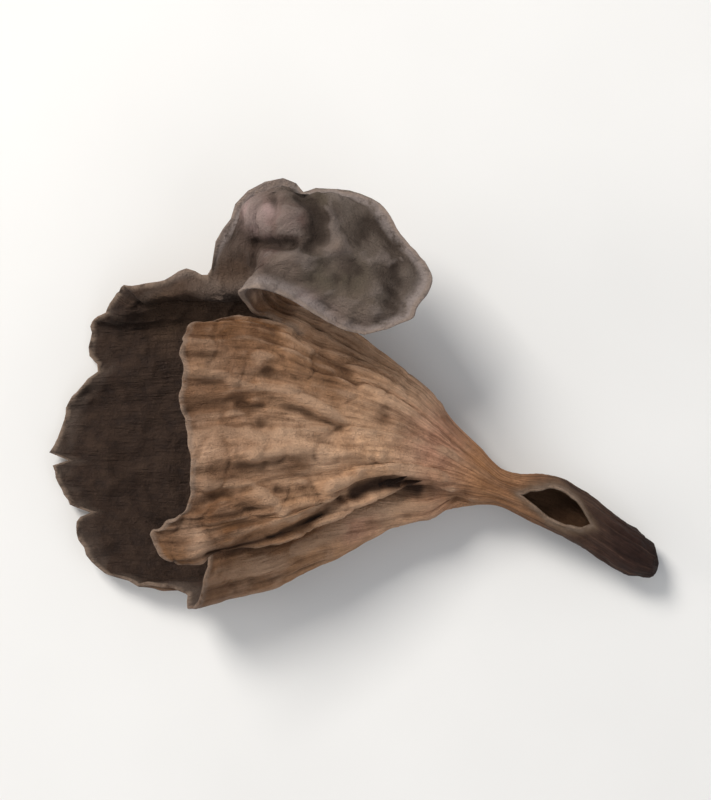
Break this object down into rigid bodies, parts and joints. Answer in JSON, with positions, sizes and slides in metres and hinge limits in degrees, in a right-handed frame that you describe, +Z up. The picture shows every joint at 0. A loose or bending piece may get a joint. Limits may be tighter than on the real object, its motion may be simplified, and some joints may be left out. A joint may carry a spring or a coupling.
{
  "type": "dried black trumpet mushroom",
  "caption": "Dried trumpet-shaped mushroom lying on its side: thin ribbed funnel with an oblique open mouth, a curled-back lobe, a pleated flap and a hollow split stem.",
  "frame": {"origin": "centre of the bounding box in plan, on the surface that the mushroom lies on", "axes": "+X from the open mouth to the foot of the stem, +Z up from the wall that lies on the ground, +Y towards the lobe that is turned back"},
  "size_m": [0.0314, 0.0214, 0.0092],
  "materials": {
    "dried_flesh": "dry matt flesh, ochre brown outside and dark brown inside"
  },
  "bodies": {
    "root": {"mushroom": "dried_flesh"}
  },
  "joints": []
}
